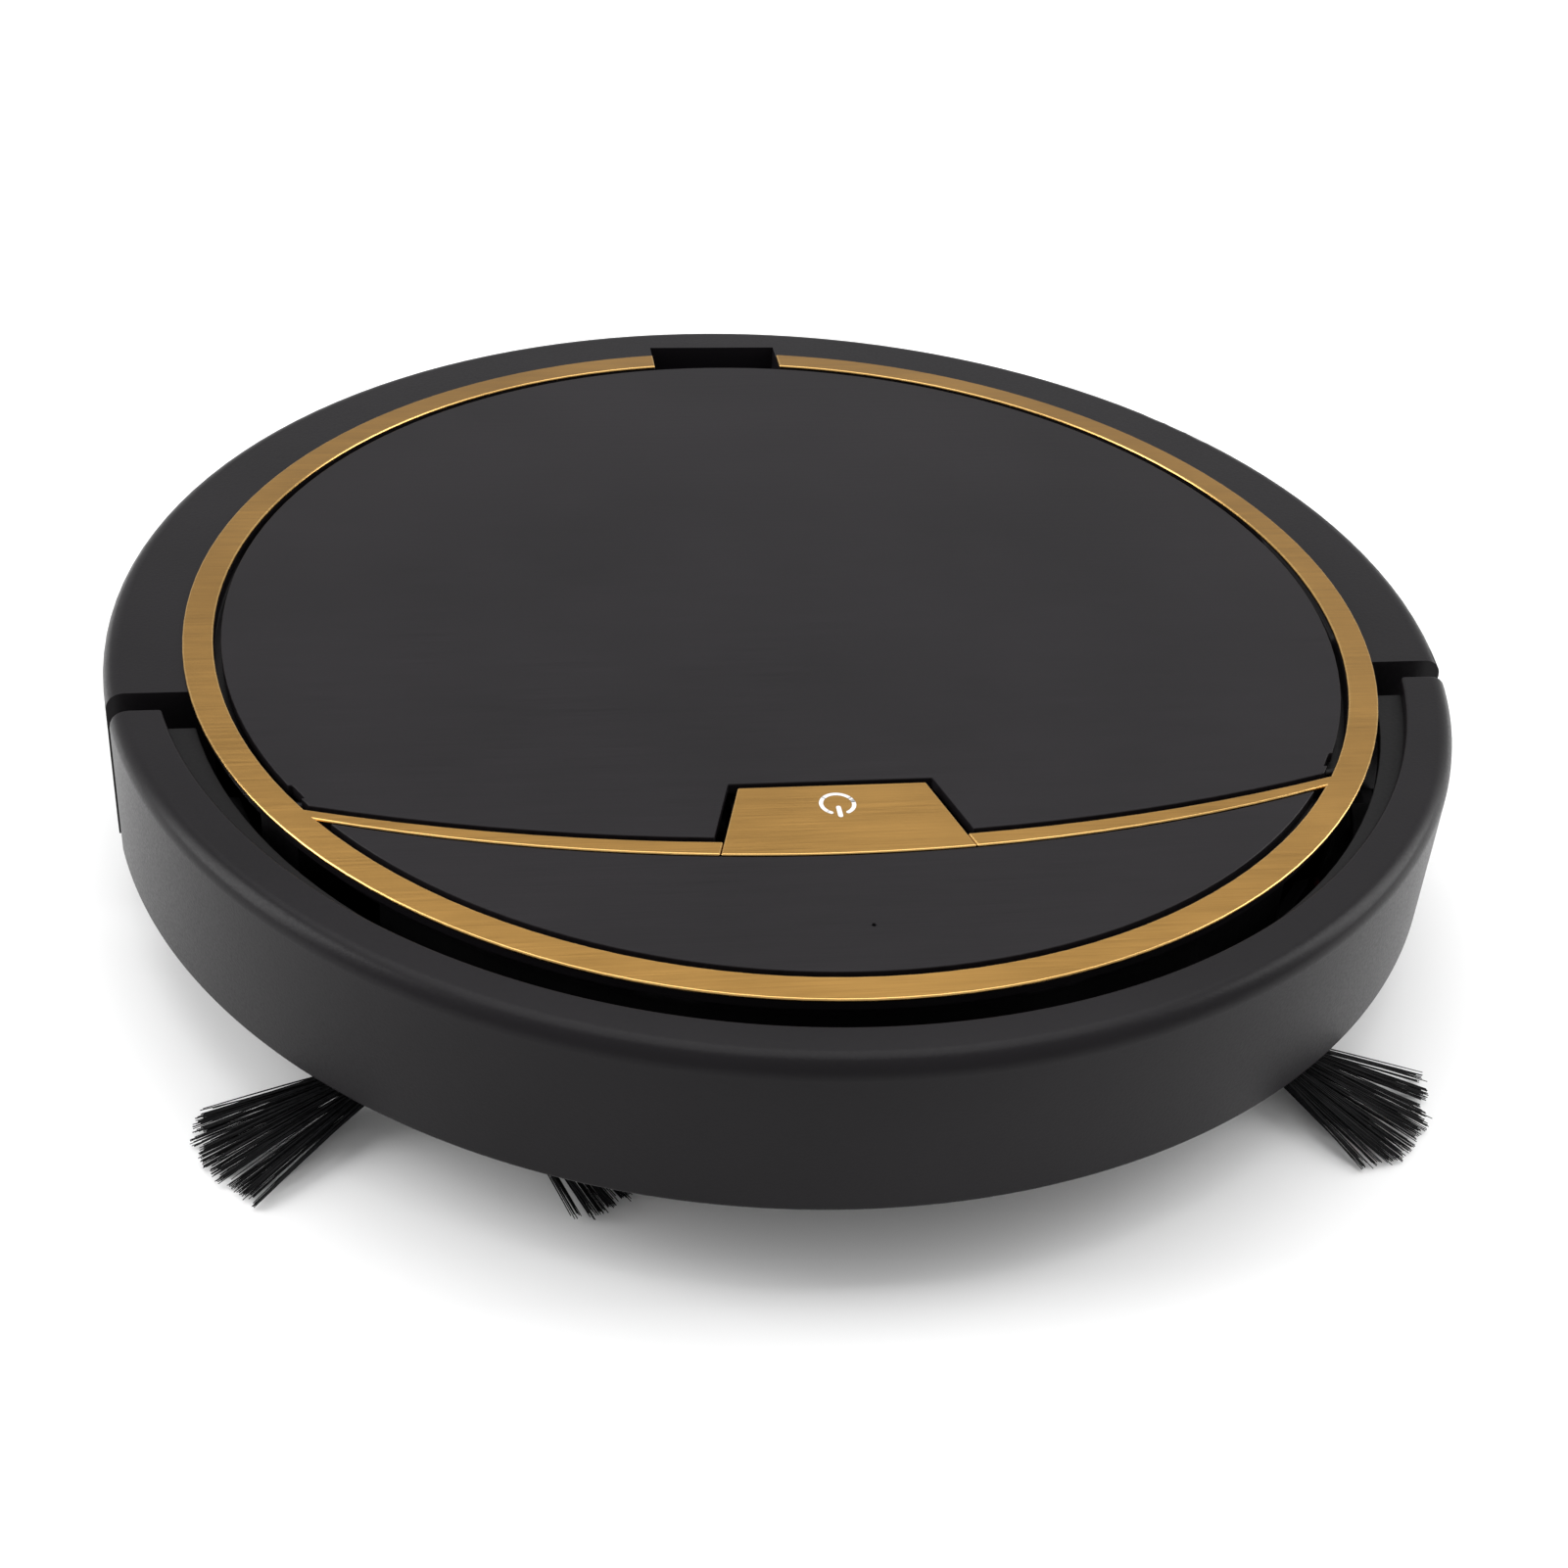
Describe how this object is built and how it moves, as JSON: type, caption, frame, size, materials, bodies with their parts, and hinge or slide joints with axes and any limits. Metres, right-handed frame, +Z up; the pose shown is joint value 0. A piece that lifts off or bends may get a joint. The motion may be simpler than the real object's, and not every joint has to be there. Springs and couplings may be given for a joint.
{
  "type": "robot vacuum",
  "caption": "Low round robot vacuum: black disc, gold trim ring and key plate, flip-up lid over a dust bin, sprung bumper, drive wheels, caster and three-armed side brushes.",
  "frame": {"origin": "on the floor, under the centre of the round body", "axes": "+Z up, -Y towards the bumper (the driving direction), +Y towards the finger notch, +X to the right in the picture"},
  "size_m": [0.28, 0.28, 0.055],
  "materials": {
    "shell_black": "satin, faint brushed grain on the top panels",
    "inner_black": "matte",
    "gold_trim": "satin gold, brushed, bright edges",
    "smoke_clear": "smoke-tinted, glossy",
    "steel": "bright",
    "black_steel": "black oxide",
    "motor_can": "drawn steel can",
    "gear_pom": "natural acetal",
    "grey_plastic": "satin",
    "rubber_black": "matte",
    "bristle_black": "nylon",
    "board_green": "solder mask",
    "battery_wrap": "shrink film",
    "filter_paper": "pleated paper",
    "sensor_red": "dark infrared window",
    "foam_black": "soft lip"
  },
  "bodies": {
    "chassis": {"base_plate": "inner_black", "top_shell": "shell_black", "trim_frame": "gold_trim", "front_panel": "shell_black", "key_switch": "grey_plastic", "main_board": "board_green", "bump_sensors": "grey_plastic", "battery_pack": "battery_wrap", "battery_cover": "inner_black", "dust_bin": "smoke_clear", "bin_cover": "smoke_clear", "filter_frame": "grey_plastic", "hepa_filter": "filter_paper", "suction_duct": "inner_black", "mouth_lip": "foam_black", "fan_shroud": "inner_black", "fan_scroll": "inner_black", "fan_motor": "motor_can", "exhaust_grille": "inner_black", "dc_jack": "inner_black", "switch_frame": "inner_black", "cliff_windows": "sensor_red", "case_screws": "steel", "suspension_pins": "steel", "suspension_springs": "steel", "bumper_springs": "steel", "right_brush_motor": "motor_can", "left_brush_motor": "motor_can"},
    "lid": {"lid": "shell_black", "lid_pins": "black_steel"},
    "key": {"power_key": "gold_trim", "key_carrier": "inner_black"},
    "bumper": {"front_bumper": "shell_black", "bumper_frame": "inner_black"},
    "impeller": {"fan_impeller": "grey_plastic"},
    "rocker": {"rocker_key": "grey_plastic"},
    "caster_swivel": {"caster_fork": "inner_black", "caster_axle": "steel"},
    "caster_roller": {"caster_wheel": "rubber_black"},
    "right_suspension": {"right_swing_arm": "inner_black", "right_gear_cover": "inner_black", "right_drive_motor": "motor_can"},
    "right_wheel": {"right_output_gear": "gear_pom", "right_wheel_hub": "grey_plastic", "right_tyre": "rubber_black"},
    "right_idler": {"right_idler_gear": "gear_pom"},
    "right_motor_shaft": {"right_pinion": "gear_pom"},
    "right_brush": {"right_brush_hub": "inner_black", "right_bristles": "bristle_black"},
    "left_suspension": {"left_swing_arm": "inner_black", "left_gear_cover": "inner_black", "left_drive_motor": "motor_can"},
    "left_wheel": {"left_output_gear": "gear_pom", "left_wheel_hub": "grey_plastic", "left_tyre": "rubber_black"},
    "left_idler": {"left_idler_gear": "gear_pom"},
    "left_motor_shaft": {"left_pinion": "gear_pom"},
    "left_brush": {"left_brush_hub": "inner_black", "left_bristles": "bristle_black"}
  },
  "joints": [
    {"name": "bumper_slide", "type": "slide", "parent": "chassis", "child": "bumper", "axis": [0, 1, 0], "range_m": [0, 0.005], "stiffness_N_per_m": 300, "deforming": ["bumper_springs"]},
    {"name": "lid_hinge", "type": "hinge", "parent": "chassis", "child": "lid", "pos_m": [0, -0.059, 0.0518], "axis": [1, 0, 0], "range_deg": [0, 60]},
    {"name": "key_press", "type": "slide", "parent": "chassis", "child": "key", "axis": [0, 0, -1], "range_m": [0, 0.0005], "stiffness_N_per_m": 600},
    {"name": "impeller_spin", "type": "hinge", "parent": "chassis", "child": "impeller", "pos_m": [0, 0.0664, 0.0304], "axis": [0, 1, 0], "continuous": true},
    {"name": "rocker_tilt", "type": "hinge", "parent": "chassis", "child": "rocker", "pos_m": [0.10764, 0.0841, 0.032], "axis": [0, 0, 1], "range_deg": [0, 16]},
    {"name": "caster_turn", "type": "hinge", "parent": "chassis", "child": "caster_swivel", "pos_m": [0, -0.101, 0.02], "axis": [0, 0, 1], "continuous": true},
    {"name": "caster_roll", "type": "hinge", "parent": "caster_swivel", "child": "caster_roller", "pos_m": [0, -0.096, 0.0085], "axis": [1, 0, 0], "continuous": true},
    {"name": "right_wheel_drop", "type": "hinge", "parent": "chassis", "child": "right_suspension", "pos_m": [0.0805, 0.049, 0.0255], "axis": [1, 0, 0], "range_deg": [0, 9], "deforming": ["suspension_springs"]},
    {"name": "right_wheel_roll", "type": "hinge", "parent": "right_suspension", "child": "right_wheel", "pos_m": [0.096, 0.008, 0.02], "axis": [1, 0, 0], "continuous": true},
    {"name": "right_idler_turn", "type": "hinge", "parent": "right_suspension", "child": "right_idler", "pos_m": [0.079, 0.01964, 0.02312], "axis": [1, 0, 0], "continuous": true},
    {"name": "right_motor_turn", "type": "hinge", "parent": "right_suspension", "child": "right_motor_shaft", "pos_m": [0.079, 0.03221, 0.02579], "axis": [1, 0, 0], "continuous": true},
    {"name": "right_brush_spin", "type": "hinge", "parent": "chassis", "child": "right_brush", "pos_m": [0.075, -0.078, 0.008], "axis": [0, 0, 1], "continuous": true},
    {"name": "left_wheel_drop", "type": "hinge", "parent": "chassis", "child": "left_suspension", "pos_m": [-0.0805, 0.049, 0.0255], "axis": [1, 0, 0], "range_deg": [0, 9], "deforming": ["suspension_springs"]},
    {"name": "left_wheel_roll", "type": "hinge", "parent": "left_suspension", "child": "left_wheel", "pos_m": [-0.096, 0.008, 0.02], "axis": [1, 0, 0], "continuous": true},
    {"name": "left_idler_turn", "type": "hinge", "parent": "left_suspension", "child": "left_idler", "pos_m": [-0.079, 0.01964, 0.02312], "axis": [1, 0, 0], "continuous": true},
    {"name": "left_motor_turn", "type": "hinge", "parent": "left_suspension", "child": "left_motor_shaft", "pos_m": [-0.079, 0.03221, 0.02579], "axis": [1, 0, 0], "continuous": true},
    {"name": "left_brush_spin", "type": "hinge", "parent": "chassis", "child": "left_brush", "pos_m": [-0.075, -0.078, 0.008], "axis": [0, 0, 1], "continuous": true}
  ],
  "couplings": [
    {"joint": "right_idler_turn", "follows": "right_wheel_roll", "ratio": -2},
    {"joint": "right_motor_turn", "follows": "right_wheel_roll", "ratio": 4.4},
    {"joint": "left_idler_turn", "follows": "left_wheel_roll", "ratio": -2},
    {"joint": "left_motor_turn", "follows": "left_wheel_roll", "ratio": 4.4}
  ]
}
